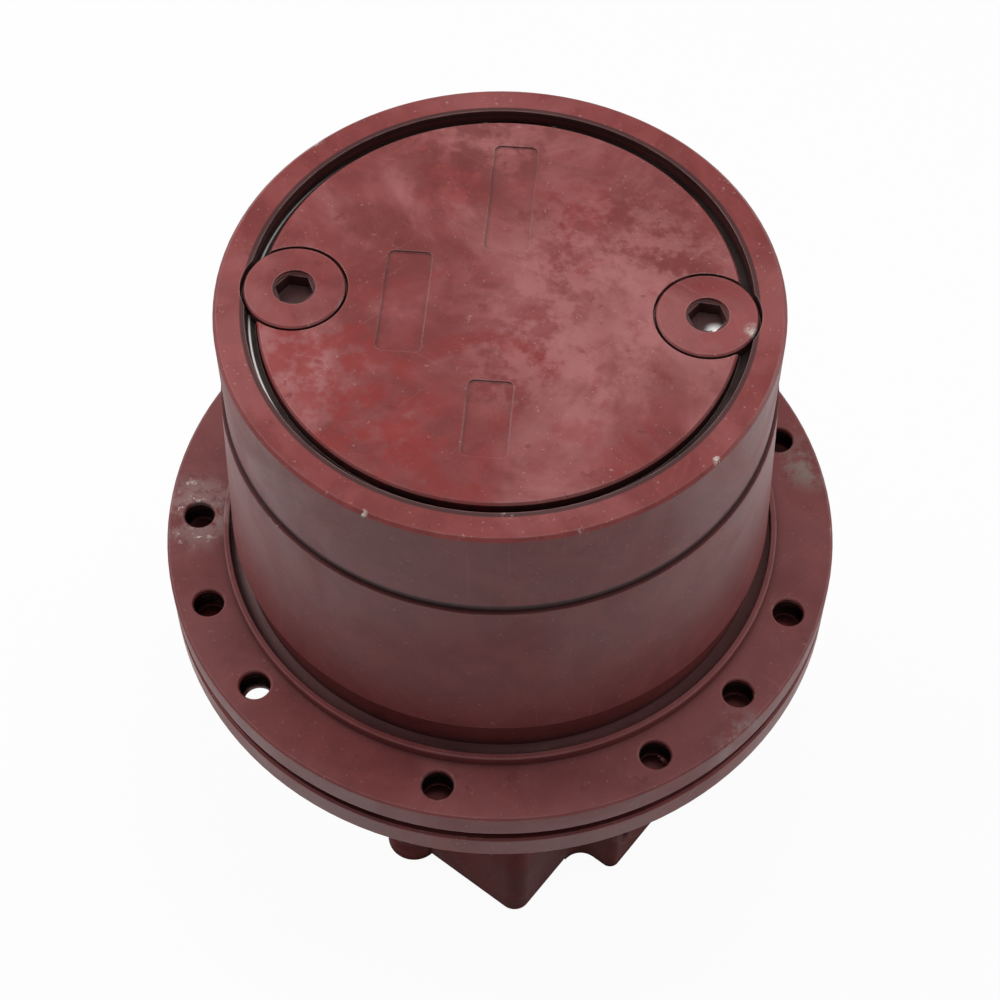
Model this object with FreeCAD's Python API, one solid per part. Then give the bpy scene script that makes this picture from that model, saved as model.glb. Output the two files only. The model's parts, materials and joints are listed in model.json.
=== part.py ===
import FreeCAD, Part
import os
from math import acos, cos, degrees, hypot, pi, radians, sin, tan

# Excavator travel final drive: a rotating drum with a two-stage planetary gear train inside,
# turning on a fixed hub that holds an axial-piston motor and its valve block.
#
# Millimetres, +Z up along the drive's axis. The origin is the centre of the frame face, the flat
# underside of the hub's flange that bolts against the track frame. The drum is above it and the
# motor's valve block below it. The two oil plugs lie near X, and Y runs through the middle one of
# three sprocket holes.

V = FreeCAD.Vector

# ---------------------------------------------------------------- driving dimensions
# Clearances
running_clearance = 0.08        # radial clearance of what turns or slides in a bore
face_clearance = 0.15           # axial gap between a moving face and its neighbour
gear_backlash = 0.30            # taken off every tooth, so a mesh has twice this in all

# Stack of flanges, up from the frame face
frame_flange_thickness = 14.5
flange_gap = 6.0                # dark gap between the fixed and the turning flange
sprocket_flange_thickness = 14.0
flange_radius = 154.5
flange_chamfer = 1.0

# Drum
drum_radius = 117.0             # machined band at the top
drum_height = 163.0             # sprocket face to rim
band_height = 52.0
band_step = 1.6                 # the cast body is this much smaller than the machined band
groove_width = 3.5              # tool run-out under the machined band
groove_depth = 1.6
drum_fillet = 8.0
sprocket_pilot_radius = 125.0   # low step that centres the sprocket
sprocket_pilot_height = 2.0
rim_chamfer = 1.5
rim_wall = 13.0                 # drum wall beside the cover
step_chamfer_height = 6.0       # slope from the ring gear's bore in to the bearing's bore
tooth_runout = 0.6              # the bore above and below the ring gear clears its roots
tooth_end_gap = 0.5             # the ring gear's teeth end this far above the first planets

# Bolt holes, tapped M16
bolt_hole_radius = 7.0
bolt_hole_chamfer = 0.7
sprocket_bolt_edge = 14.5       # holes' centres in from the flange's edge
sprocket_group_turn = 90.0      # middle of the first group of three holes
sprocket_group_step = 20.0
frame_bolt_edge = 19.5
frame_bolt_count = 12
frame_bolt_turn = 16.1
frame_pilot_radius = 110.0
frame_pilot_height = 8.0

# Cover, held in the drum by a snap ring
cover_below_rim = 1.5
cover_gap = 4.7                 # open gap between the cover and the drum's bore
cover_top_height = 9.0          # cover above its shoulder
cover_shoulder_height = 6.0
cover_chamfer = 1.0
cover_turn = 6.2                # the plugs and bare pads are turned by this about the axis
snap_ring_height = 4.0
snap_ring_gap = 0.5             # between the snap ring and the cover
snap_groove_depth = 3.0
snap_ring_opening = 14.0        # degrees between its ends
snap_ring_eye_radius = 2.6      # eyes' centres in from its ends
snap_ring_eye_hole = 1.4
cover_seal_height = 3.0
cover_seal_depth = 2.5
pad_depth = 0.9                 # three bare sunk pads
pad_corner = 3.0
pad_width = 18.5
pads = ((0.0, 56.0, 58.0), (-39.0, -2.4, 52.0), (0.0, -58.6, 37.0))

# Oil plugs in the cover
plug_edge = 14.7                # plugs' centres in from the cover's edge
plug_head_radius = 21.0
plug_head_chamfer = 0.8
plug_shank_gap = 0.2
plug_notch_depth = 0.3          # the notch in the drum's rim goes this far below the plug's seat
plug_head_height = 5.2
plug_thread_radius = 13.2
plug_recess_depth = 4.5
plug_recess_clearance = 1.2
plug_socket_width = 14.0
plug_socket_depth = 8.0
plug_lead_radius = 8.9
plug_lead_depth = 1.6
plug_seal_rim = 1.8
plug_seal_height = 1.2

# Gears
gear_module = 3.25
pressure_angle = radians(20.0)
ring_teeth = 60
first_sun_teeth = 12
first_planet_count = 3
second_sun_teeth = 16
second_planet_count = 4
addendum = 0.80                 # of the module
dedendum = 1.05
first_gear_width = 14.0
second_gear_width = 24.0

# Carriers, pins and washers
first_carrier_radius = 84.0
first_carrier_thickness = 8.0
second_carrier_radius = 88.0
second_carrier_thickness = 13.0
first_pin_radius = 11.0
second_pin_radius = 13.0
pin_head_rim = 4.5
pin_head_height = 2.4
needle_thickness = 3.5
washer_rim = 8.0
washer_thickness = 2.6
second_sun_neck_radius = 20.0
second_sun_bore = 14.0
carrier_ring_height = 2.6       # snap ring that holds the second carrier
carrier_ring_rim = 3.9
carrier_ring_depth = 1.5
carrier_ring_sunk = 0.6
carrier_pin_wall = 2.85         # between the snap ring's counterbore and the pins
carrier_clearance = 1.2         # between a pin's head and the carrier above it
carrier_window_radius = 11.0    # round openings between the second planets' pins
carrier_window_offset = 4.0
first_window_radius = 16.5
pin_to_cover = 1.0
shaft_end_rise = 1.0            # input shaft above its sun
thrust_pad_rim = 7.0

# Main bearings, tapered rollers
bearing_bore = 70.0
bearing_outer = 92.0
bearing_height = 22.0
bearing_spacing = 10.0
bearing_roller_count = 16
bearing_roller_radius = 4.2
bearing_roller_length = 14.0
bearing_roller_tilt = radians(14.0)
bearing_roller_clearance = 0.15
bearing_shoulder_rim = 6.0
bearing_cage_height = 1.6
bearing_cage_half_width = 2.3
bearing_cage_grip = 0.4         # the cage rings overlap the rollers' ends by this
nut_height = 10.0
nut_radius = 82.0
nut_thread_radius = 68.0
nut_slot_count = 6
nut_slot_width = 6.0
nut_slot_depth = 4.0
nut_slot_height = 6.0
nut_gap = 1.0                   # between the nut and the second carrier

# Floating face seal
seal_bore = 98.0
seal_ring_radius = 91.0
seal_ring_inner = 80.5
seal_half_height = 12.0
seal_land = 4.0                 # lapped face beyond the ramp, and where the ramp starts
seal_land_height = 2.6
seal_ramp = 2.0                 # the ramp under the rubber leans in by this
seal_rubber_low = 4.2
seal_rubber_high = 10.8
seal_floor_gap = 1.5
seal_to_bearing = 4.0
seal_collar_radius = 108.0
seal_collar_clearance = 2.0
seal_collar_drop = 1.2          # fixed collar below the seal's middle plane
seal_mouth_rise = 0.8           # turning mouth above it
spindle_radius = 78.0

# Hydraulic motor
motor_bore = 58.0
motor_length = 90.0             # frame face down to the valve block's joint face
motor_shell_radius = 90.0
shell_slope_rim = 4.0           # cast slope under the pilot
shell_slope_height = 8.0
joint_ledge_radius = 97.0       # thick ring of the casting at the joint face
joint_ledge_height = 16.0
joint_ledge_slope = 7.0
swash_bore = 53.0
swash_radius = 40.0
swash_half_length = 40.0
swash_clip = 5.0                # the plate's corners stay this far inside the bore
swash_tilt = 14.0
swash_shaft_hole = 24.0
swash_height = 14.0             # tilt axis above the frame face
valve_plate_thickness = 4.0
valve_plate_radius = 45.0
valve_plate_bore = 16.0
kidney_half_width = 3.0
kidney_half_span = 17.0
block_radius = 45.0
block_height = 70.0
block_foot_height = 2.0
block_bore_floor = 14.0
piston_count = 9
piston_circle = 32.0
piston_radius = 7.5
piston_neck_radius = 6.0
piston_floor_gap = 2.0
feed_radius = 3.75
shoe_radius = 8.0
shoe_thickness = 3.5
retainer_thickness = 3.4
retainer_radius = 41.0
shaft_radius = 11.0
shaft_spline_radius = 14.0
shaft_bearing_radius = 26.0
shaft_bearing_height = 15.0
rear_bearing_radius = 24.0
rear_bearing_height = 14.0
shaft_seal_radius = 17.0
shaft_seal_height = 8.0
shaft_end_gap = 1.0
shaft_end_chamfer = 0.8
cradle_wall = 1.5               # cradle to the front bearing's seat
cradle_opening = 6.0
seal_shoulder = 2.0
hollow_floor_gap = 3.0
rear_bearing_sunk = 8.0
spindle_hollow_radius = 34.0

# Parking brake
brake_plate_thickness = 2.6
brake_disc_thickness = 2.4
brake_disc_count = 3
brake_disc_radius = 56.0
brake_plate_inner = 47.0
brake_spigot_height = 10.0
brake_piston_height = 20.0
brake_spring_count = 8
brake_spring_length = 28.0
brake_spring_radius = 3.5
brake_spring_wall = 1.2

# Valve block, the motor's end cover
block_half_length = 83.0
block_half_width = 76.0
valve_block_height = 75.0
block_turn = 63.1
block_corner = 8.0
block_edge = 3.0
block_pocket_length = 84.0      # shallow cast pocket in the underside
block_pocket_width = 66.0
block_pocket_depth = 4.0
spool_depth = 38.5              # spool axis below the joint face
spool_radius = 13.0
spool_half_length = 48.0
spool_travel = 5.0
spool_land_share = 0.125        # half a groove, as a share of half the spool
spool_core_share = 0.65
spool_spring_length = 23.3      # pressed by the spool's full travel
spool_spring_radius = 9.0
spool_spring_wall = 2.2
spool_boss_radius = 31.5
spool_boss_chamfer = 1.5
spool_boss_fillet = 1.6
cap_thread_radius = 20.0
cap_thread_length = 22.0
cap_head_height = 3.0
cap_head_radius = 25.0
cap_socket_width = 17.0
cap_socket_depth = 10.0
cap_head_chamfer = 0.8
port_radius = 12.2
port_depth = 18.0
port_boss_radius = 16.5
port_boss_height = 9.0
port_places = (8.0, 42.0)
passage_radius = 7.0
relief_radius = 9.0
relief_depth = 30.0
relief_place = 46.0
relief_width = 24.0
relief_head_height = 9.0
boss_root = 5.0                 # round bosses run this far into the block
drain_radius = 9.3
drain_depth = 18.0
drain_boss_radius = 15.0
drain_boss_height = 3.0
drain_inset = 6.0
drain_passage_radius = 4.65
gauge_plug_radius = 6.0
gauge_plug_depth = 9.0
gauge_plug_place = 26.0
gauge_plug_drop = 18.0
gauge_socket_depth = 5.0
cover_bolt_circle = 72.0
cover_bolt_count = 8
cover_bolt_radius = 6.0
cover_bolt_grip = 25.0
cover_bolt_head_radius = 9.0
cover_bolt_head_height = 12.0
cover_bolt_recess = 14.0
cover_bolt_socket = 10.0
cover_bolt_end_gap = 0.5
cover_bolt_head_gap = 1.0
dowel_radius = 4.0
dowel_length = 16.0
face_seal_width = 2.6
face_seal_wall = 2.0
spigot_width = 9.0              # short ring of the block inside the hub's bore

# ---------------------------------------------------------------- sizes worked out from them
sprocket_bolt_circle = flange_radius - sprocket_bolt_edge
frame_bolt_circle = flange_radius - frame_bolt_edge
cover_bore_radius = drum_radius - rim_wall
cover_top_radius = cover_bore_radius - cover_gap
snap_ring_inner_radius = cover_top_radius + snap_ring_gap
plug_circle = cover_top_radius - plug_edge

z_flange_bottom = frame_flange_thickness + flange_gap
z_flange_top = z_flange_bottom + sprocket_flange_thickness
z_pilot_top = z_flange_top + sprocket_pilot_height
z_rim = z_flange_top + drum_height
z_band = z_rim - band_height
z_cover_top = z_rim - cover_below_rim
z_snap_ring = z_cover_top - cover_top_height
z_cover_bottom = z_snap_ring - cover_shoulder_height
z_plug_seat = z_cover_top - plug_recess_depth

ring_pitch = gear_module * ring_teeth / 2
ring_tip = ring_pitch - addendum * gear_module
ring_root = ring_pitch + dedendum * gear_module
first_planet_teeth = (ring_teeth - first_sun_teeth) // 2
second_planet_teeth = (ring_teeth - second_sun_teeth) // 2
first_circle = gear_module * (first_sun_teeth + first_planet_teeth) / 2
second_circle = gear_module * (second_sun_teeth + second_planet_teeth) / 2
carrier_ring_outer = second_circle - second_pin_radius - carrier_pin_wall
spindle_top_radius = carrier_ring_outer - carrier_ring_rim

z_pin_head_top = z_cover_bottom - pin_to_cover
z_first_gear_top = z_pin_head_top - pin_head_height - face_clearance
z_first_gear = z_first_gear_top - first_gear_width
z_shaft_top = z_first_gear_top + shaft_end_rise
z_first_washer = z_first_gear - face_clearance - washer_thickness
z_first_carrier = z_first_washer - first_carrier_thickness
z_second_head_top = z_first_carrier - carrier_clearance
z_second_gear_top = z_second_head_top - pin_head_height - face_clearance
z_second_gear = z_second_gear_top - second_gear_width
z_second_washer = z_second_gear - face_clearance - washer_thickness
z_second_carrier = z_second_washer - second_carrier_thickness
z_nut = z_second_carrier - nut_gap - nut_height
z_upper_bearing = z_nut - bearing_height
z_lower_bearing = z_upper_bearing - bearing_spacing - bearing_height
z_hub_top = z_second_carrier + second_carrier_thickness
z_carrier_ring = z_hub_top - carrier_ring_height - carrier_ring_sunk
z_teeth_top = z_first_gear_top + tooth_end_gap

z_seal = z_lower_bearing - seal_to_bearing - seal_half_height - seal_floor_gap

z_joint = -motor_length
z_block_bottom = z_joint - valve_block_height
z_spool = z_joint - spool_depth
z_cradle_top = swash_height + swash_radius + running_clearance
z_front_bearing = z_cradle_top + cradle_wall
z_shaft_seal = z_front_bearing + shaft_bearing_height + seal_shoulder
z_hollow_floor = z_shaft_seal + shaft_seal_height + hollow_floor_gap
z_rear_bearing = z_joint - rear_bearing_sunk - rear_bearing_height
z_rotor = z_joint + valve_plate_thickness + face_clearance
z_rotor_top = z_rotor + block_height
z_shoe_top = swash_height - swash_radius * sin(radians(swash_tilt)) - 2 * face_clearance
z_shoe = z_shoe_top - shoe_thickness
z_retainer = z_shoe - retainer_thickness
z_brake_base = z_joint + brake_spigot_height
brake_pitch = brake_plate_thickness + brake_disc_thickness + 2 * face_clearance
z_brake_piston = z_brake_base + brake_disc_count * brake_pitch + brake_plate_thickness + face_clearance
z_spring_seat = z_brake_piston + brake_piston_height + brake_spring_length

spool_spring_start = spool_half_length + face_clearance
spool_boss_reach = spool_spring_start + spool_travel + spool_spring_length + cap_thread_length
z_gauge_plugs = z_joint - gauge_plug_drop


# ---------------------------------------------------------------- plain shapes
def disc(radius, bottom, top, x=0.0, y=0.0):
    """Upright cylinder between two heights."""
    return Part.makeCylinder(radius, top - bottom, V(x, y, bottom))


def ring(inner, outer, bottom, top, x=0.0, y=0.0):
    """Upright ring between two heights."""
    return disc(outer, bottom, top, x, y).cut(disc(inner, bottom - 1, top + 1, x, y))


def cone(radius_bottom, radius_top, bottom, top, x=0.0, y=0.0):
    return Part.makeCone(radius_bottom, radius_top, top - bottom, V(x, y, bottom))


def turned(points):
    """Solid of revolution about the axis from a closed outline of (radius, height)."""
    outline = [V(radius, 0, height) for radius, height in points]
    outline.append(outline[0])
    face = Part.Face(Part.makePolygon(outline))
    return face.revolve(V(0, 0, 0), V(0, 0, 1), 360)


def on_circle(circle, degrees_round, height=0.0):
    angle = radians(degrees_round)
    return V(circle * cos(angle), circle * sin(angle), height)


def even_angles(count, start=0.0):
    return [start + 360.0 * k / count for k in range(count)]


def turn(shape, degrees_round, centre=V(0, 0, 0), axis=V(0, 0, 1)):
    copy = shape.copy()
    copy.rotate(centre, axis, degrees_round)
    return copy


def moved(shape, x, y, z=0.0):
    copy = shape.copy()
    copy.translate(V(x, y, z))
    return copy


def pattern(shape, angles):
    """Copies of one shape turned about the axis."""
    return [turn(shape, angle) for angle in angles]


def joined(shapes):
    """One shape from several that overlap or share faces."""
    return shapes[0].multiFuse(shapes[1:]).removeSplitter()


def hexagon(width, bottom, top, x=0.0, y=0.0):
    """Upright hexagonal prism, sized across its flats."""
    reach = width / 2 / cos(pi / 6)
    corners = [V(x + reach * cos(a * pi / 3), y + reach * sin(a * pi / 3), bottom) for a in range(7)]
    return Part.Face(Part.makePolygon(corners)).extrude(V(0, 0, top - bottom))


def lay(shape, direction):
    """Turn an upright shape so that its +Z points along a direction."""
    copy = shape.copy()
    placed = FreeCAD.Placement(V(0, 0, 0), FreeCAD.Rotation(V(0, 0, 1), V(*direction)))
    copy.transformShape(placed.toMatrix())
    return copy


def soften(shape, radius, chosen):
    """Fillet the edges that a test picks."""
    edges = [edge for edge in shape.Edges if chosen(edge)]
    return shape.makeFillet(radius, edges)


def bevel(shape, size, chosen):
    """Chamfer the edges that a test picks."""
    edges = [edge for edge in shape.Edges if chosen(edge)]
    return shape.makeChamfer(size, edges)


def is_circle(edge, radius, height):
    """True for a full circle about the axis of this radius and height."""
    if not isinstance(edge.Curve, Part.Circle):
        return False
    centre = edge.Curve.Center
    near_axis = hypot(centre.x, centre.y) < 1e-4
    return near_axis and abs(edge.Curve.Radius - radius) < 1e-4 and abs(centre.z - height) < 1e-4


def tapped_holes(circle, angles, bottom, top):
    """Cutters for through holes, chamfered at the top."""
    hole = disc(bolt_hole_radius, bottom - 1, top + 1, circle, 0)
    wide = bolt_hole_radius + bolt_hole_chamfer
    upper = cone(bolt_hole_radius, wide, top - bolt_hole_chamfer, top, circle, 0)
    return pattern(joined([hole, upper]), angles)


def sprocket_angles():
    """In every third of the circle, a group of three holes and a single one opposite it."""
    group = (-sprocket_group_step, 0.0, sprocket_group_step, 180.0)
    return [middle + place for middle in even_angles(3, sprocket_group_turn) for place in group]


def plug_centres():
    return [on_circle(plug_circle, cover_turn), on_circle(plug_circle, cover_turn + 180.0)]


# ---------------------------------------------------------------- gear teeth
def involute(angle):
    return tan(angle) - angle


def tooth_outline(teeth, root, tip, half_width, start=0.0):
    """Closed wire of involute teeth; half_width is half a tooth along the pitch circle."""
    pitch = gear_module * teeth / 2
    base = pitch * cos(pressure_angle)
    flank_start = max(base, root)
    step = 2 * pi / teeth

    def half_angle(radius):
        roll = acos(min(1.0, base / radius))
        return half_width / pitch + involute(pressure_angle) - involute(roll)

    def point(radius, angle):
        return V(radius * cos(angle), radius * sin(angle), 0)

    edges = []
    for tooth in range(teeth):
        middle = start + tooth * step
        radii = (flank_start, (flank_start + tip) / 2, tip)
        rise = [point(radius, middle - half_angle(radius)) for radius in radii]
        fall = [point(radius, middle + half_angle(radius)) for radius in reversed(radii)]
        foot = half_angle(flank_start)
        if flank_start > root + 1e-6:
            edges.append(Part.LineSegment(point(root, middle - foot), rise[0]).toShape())
        edges.append(Part.Arc(*rise).toShape())
        edges.append(Part.Arc(rise[2], point(tip, middle), fall[0]).toShape())
        edges.append(Part.Arc(*fall).toShape())
        if flank_start > root + 1e-6:
            edges.append(Part.LineSegment(fall[2], point(root, middle + foot)).toShape())
        valley = (point(root, middle + foot), point(root, middle + step / 2),
                  point(root, middle + step - foot))
        edges.append(Part.Arc(*valley).toShape())
    return Part.Wire(edges)


def gear_body(teeth, width, start):
    """External gear about the axis, standing on z = 0."""
    pitch = gear_module * teeth / 2
    tip = pitch + addendum * gear_module
    root = pitch - dedendum * gear_module
    half_width = (pi * gear_module / 2 - gear_backlash) / 2
    outline = tooth_outline(teeth, root, tip, half_width, start)
    return Part.Face(outline).extrude(V(0, 0, width))


def ring_gear_cutter(bottom, top):
    """The space inside the internal ring gear, its own teeth centred on +X."""
    half_width = (pi * gear_module / 2 + gear_backlash) / 2
    space = tooth_outline(ring_teeth, ring_tip, ring_root, half_width, pi / ring_teeth)
    cutter = Part.Face(space).extrude(V(0, 0, top - bottom))
    cutter.translate(V(0, 0, bottom))
    return cutter


def planet_phase(planet_teeth, place):
    """Angle of one tooth of a planet at this place, meshed with the ring gear."""
    ring_part = place * ring_teeth / (2 * pi)
    return place - (ring_part + 0.5) * 2 * pi / planet_teeth


def sun_phase(sun_teeth, planet_teeth, place):
    """Angle of one tooth of the sun, meshed with the planet at this place."""
    planet_part = (place + pi - planet_phase(planet_teeth, place)) * planet_teeth / (2 * pi)
    return place - (0.5 - planet_part) * 2 * pi / sun_teeth


def planet_gear(teeth, width, circle, pin_radius, place, bottom):
    """A planet on its needle ring, at its place round the sun."""
    body = gear_body(teeth, width, planet_phase(teeth, place))
    body = body.cut(disc(pin_radius + needle_thickness, -1, width + 1))
    needles = ring(pin_radius + running_clearance, pin_radius + needle_thickness, 0, width)
    return [moved(piece, circle * cos(place), circle * sin(place), bottom) for piece in (body, needles)]


def planet_places(count):
    return [2 * pi * k / count for k in range(count)]


# ---------------------------------------------------------------- drum
def drum_housing():
    """Cast drum with the sprocket flange and the ring gear cut in its wall."""
    body_radius = drum_radius - band_step
    runout = ring_root + tooth_runout
    seal_top = z_seal + seal_half_height + seal_floor_gap
    mouth = seal_collar_radius + seal_collar_clearance
    outline = [
        (flange_radius, z_flange_bottom), (flange_radius, z_flange_top),
        (sprocket_pilot_radius, z_flange_top), (sprocket_pilot_radius, z_pilot_top),
        (body_radius, z_pilot_top), (body_radius, z_band - groove_width),
        (drum_radius - groove_depth - band_step / 2, z_band - groove_width / 2),
        (drum_radius, z_band), (drum_radius, z_rim),
        (cover_bore_radius, z_rim), (cover_bore_radius, z_cover_bottom),
        (runout, z_cover_bottom), (runout, z_teeth_top),
        (ring_tip, z_teeth_top), (ring_tip, z_second_washer),
        (runout, z_second_washer), (runout, z_second_washer - step_chamfer_height),
        (bearing_outer, z_second_washer - 2 * step_chamfer_height), (bearing_outer, z_upper_bearing),
        (bearing_outer - bearing_shoulder_rim, z_upper_bearing),
        (bearing_outer - bearing_shoulder_rim, z_upper_bearing - bearing_spacing),
        (bearing_outer, z_upper_bearing - bearing_spacing), (bearing_outer, seal_top),
        (seal_bore, seal_top), (seal_bore, z_seal + seal_mouth_rise),
        (mouth, z_seal + seal_mouth_rise), (mouth, z_flange_bottom),
    ]
    body = turned(outline)
    body = soften(body, drum_fillet, lambda e: is_circle(e, body_radius, z_pilot_top))
    body = bevel(body, rim_chamfer, lambda e: is_circle(e, drum_radius, z_rim))
    body = bevel(body, flange_chamfer, lambda e: is_circle(e, flange_radius, z_flange_top)
                 or is_circle(e, flange_radius, z_flange_bottom))
    groove = ring(cover_bore_radius - 1, cover_bore_radius + snap_groove_depth,
                  z_snap_ring, z_snap_ring + snap_ring_height)
    notch = z_plug_seat - plug_notch_depth
    notches = [disc(plug_head_radius + plug_recess_clearance, notch, z_rim + 1, p.x, p.y)
               for p in plug_centres()]
    holes = tapped_holes(sprocket_bolt_circle, sprocket_angles(), z_flange_bottom, z_flange_top)
    body = body.cut([groove] + notches + holes)
    return body.cut(ring_gear_cutter(z_second_washer, z_teeth_top))


def rounded_plate(length_x, length_y, corner, bottom, top, x, y):
    plate = Part.makeBox(length_x, length_y, top - bottom, V(x - length_x / 2, y - length_y / 2, bottom))
    upright = [e for e in plate.Edges if abs(e.tangentAt(e.FirstParameter).z) > 0.99]
    return plate.makeFillet(corner, upright)


def cover():
    """Turned end cover with a shoulder for the snap ring, two plug seats and three bare sunk pads."""
    outline = [
        (0, z_cover_bottom), (cover_bore_radius, z_cover_bottom),
        (cover_bore_radius, z_snap_ring), (cover_top_radius, z_snap_ring),
        (cover_top_radius, z_cover_top), (0, z_cover_top),
    ]
    body = turned(outline)
    body = bevel(body, cover_chamfer, lambda e: is_circle(e, cover_top_radius, z_cover_top))
    seal_bottom = z_cover_bottom + (cover_shoulder_height - cover_seal_height) / 2
    cuts = [ring(cover_bore_radius - cover_seal_depth, cover_bore_radius + 1,
                 seal_bottom, seal_bottom + cover_seal_height)]
    for centre in plug_centres():
        recess = plug_head_radius + plug_recess_clearance
        cuts.append(disc(recess, z_plug_seat, z_cover_top + 1, centre.x, centre.y))
        cuts.append(disc(plug_thread_radius + plug_seal_rim, z_plug_seat - plug_seal_height,
                         z_plug_seat, centre.x, centre.y))
        cuts.append(disc(plug_thread_radius, z_cover_bottom - 1, z_plug_seat, centre.x, centre.y))
    for x, y, length in pads:
        pad = rounded_plate(pad_width, length, pad_corner, z_cover_top - pad_depth, z_cover_top + 1, x, y)
        cuts.append(turn(pad, cover_turn))
    return body.cut(cuts)


def cover_seal():
    bottom = z_cover_bottom + (cover_shoulder_height - cover_seal_height) / 2
    return ring(cover_bore_radius - cover_seal_depth, cover_bore_radius, bottom, bottom + cover_seal_height)


def snap_ring():
    """Open ring that holds the cover, with a drilled eye at each end."""
    outer = cover_bore_radius + snap_groove_depth
    top = z_snap_ring + snap_ring_height
    body = ring(snap_ring_inner_radius, outer, z_snap_ring, top)
    middle = 90.0 + cover_turn
    reach = outer + 5
    corners = [V(0, 0, z_snap_ring - 1)]
    corners += [on_circle(reach, middle + side * snap_ring_opening / 2, z_snap_ring - 1) for side in (-1, 1)]
    corners.append(corners[0])
    body = body.cut(Part.Face(Part.makePolygon(corners)).extrude(V(0, 0, snap_ring_height + 2)))
    eye_circle = (snap_ring_inner_radius + cover_bore_radius) / 2
    holes = []
    for side in (-1, 1):
        eye_turn = snap_ring_opening / 2 + degrees(snap_ring_eye_radius / outer)
        spot = on_circle(eye_circle, middle + side * eye_turn)
        holes.append(disc(snap_ring_eye_hole, z_snap_ring - 1, top + 1, spot.x, spot.y))
    return body.cut(holes)


def oil_plug(centre):
    """Flanged screw plug with a hexagon socket."""
    top = z_plug_seat + plug_head_height
    head = disc(plug_head_radius, z_plug_seat, top, centre.x, centre.y)
    head = bevel(head, plug_head_chamfer, lambda e: abs(e.BoundBox.ZMin - top) < 1e-6)
    shank = disc(plug_thread_radius, z_cover_bottom + plug_shank_gap, z_plug_seat, centre.x, centre.y)
    socket = hexagon(plug_socket_width, top - plug_socket_depth, top + 1, centre.x, centre.y)
    lead_in = disc(plug_lead_radius, top - plug_lead_depth, top + 1, centre.x, centre.y)
    return joined([head, shank]).cut([socket, lead_in])


def plug_seals():
    outer = plug_thread_radius + plug_seal_rim
    return [ring(plug_thread_radius, outer, z_plug_seat - plug_seal_height, z_plug_seat, p.x, p.y)
            for p in plug_centres()]


# ---------------------------------------------------------------- main bearings and face seal
def bearing_profiles(bottom, large_end_up):
    """Roller axis and the two slanted gaps of one tapered bearing, as points in the axial plane."""
    middle = V((bearing_bore + bearing_outer) / 2, 0, bottom + bearing_height / 2)
    tilt = bearing_roller_tilt if large_end_up else -bearing_roller_tilt
    along = V(sin(tilt), 0, cos(tilt))
    across = V(cos(tilt), 0, -sin(tilt))
    return middle, along, across


def bearing_race(bottom, large_end_up, inner):
    """Inner or outer race of a tapered bearing, its slope parallel to the rollers."""
    middle, along, across = bearing_profiles(bottom, large_end_up)
    offset = bearing_roller_radius + bearing_roller_clearance
    side = -offset if inner else offset
    top = bottom + bearing_height

    def slope_at(height):
        start = middle + across * side
        return start.x + along.x * (height - start.z) / along.z

    flat = bearing_bore if inner else bearing_outer
    return turned([(flat, bottom), (slope_at(bottom), bottom), (slope_at(top), top), (flat, top)])


def bearing_rollers(bottom, large_end_up):
    """Rollers held by a thin cage ring at each end."""
    middle, along, across = bearing_profiles(bottom, large_end_up)
    start = middle - along * (bearing_roller_length / 2)
    roller = Part.makeCylinder(bearing_roller_radius, bearing_roller_length, start, along)
    pieces = pattern(roller, even_angles(bearing_roller_count))
    for end in (-1, 1):
        near = middle + along * (end * (bearing_roller_length / 2 - bearing_cage_grip))
        far = near + along * (end * bearing_cage_height)
        half = bearing_cage_half_width
        corners = [near - across * half, near + across * half, far + across * half, far - across * half]
        pieces.append(turned([(p.x, p.z) for p in corners]))
    return joined(pieces)


def bearing_spacer():
    return ring(bearing_bore, bearing_bore + bearing_shoulder_rim,
                z_lower_bearing + bearing_height, z_upper_bearing)


def bearing_nut():
    """Slotted nut that clamps the inner races."""
    top = z_nut + nut_height
    body = ring(nut_thread_radius, nut_radius, z_nut, top)
    slot = Part.makeBox(nut_slot_depth + 1, nut_slot_width, nut_slot_height + 1,
                        V(nut_radius - nut_slot_depth, -nut_slot_width / 2, top - nut_slot_height))
    return body.cut(pattern(slot, even_angles(nut_slot_count)))


def seal_ring(upper):
    """Hard metal ring of the floating seal, lapped on the middle plane."""
    side = 1 if upper else -1
    film = face_clearance / 2 * side
    end = seal_half_height * side
    return turned([
        (seal_ring_inner, z_seal + film), (seal_ring_radius + seal_land, z_seal + film),
        (seal_ring_radius + seal_land, z_seal + seal_land_height * side),
        (seal_ring_radius, z_seal + seal_land * side),
        (seal_ring_radius - seal_ramp, z_seal + end), (seal_ring_inner, z_seal + end),
    ])


def seal_rubber(upper):
    """Rubber ring squeezed between the metal ring and its bore."""
    side = 1 if upper else -1
    low = z_seal + seal_rubber_low * side
    high = z_seal + seal_rubber_high * side

    def ring_side(height):
        share = (abs(height - z_seal) - seal_land) / (seal_half_height - seal_land)
        return seal_ring_radius - seal_ramp * share

    return turned([(ring_side(low), low), (seal_bore, low), (seal_bore, high), (ring_side(high), high)])


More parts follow.
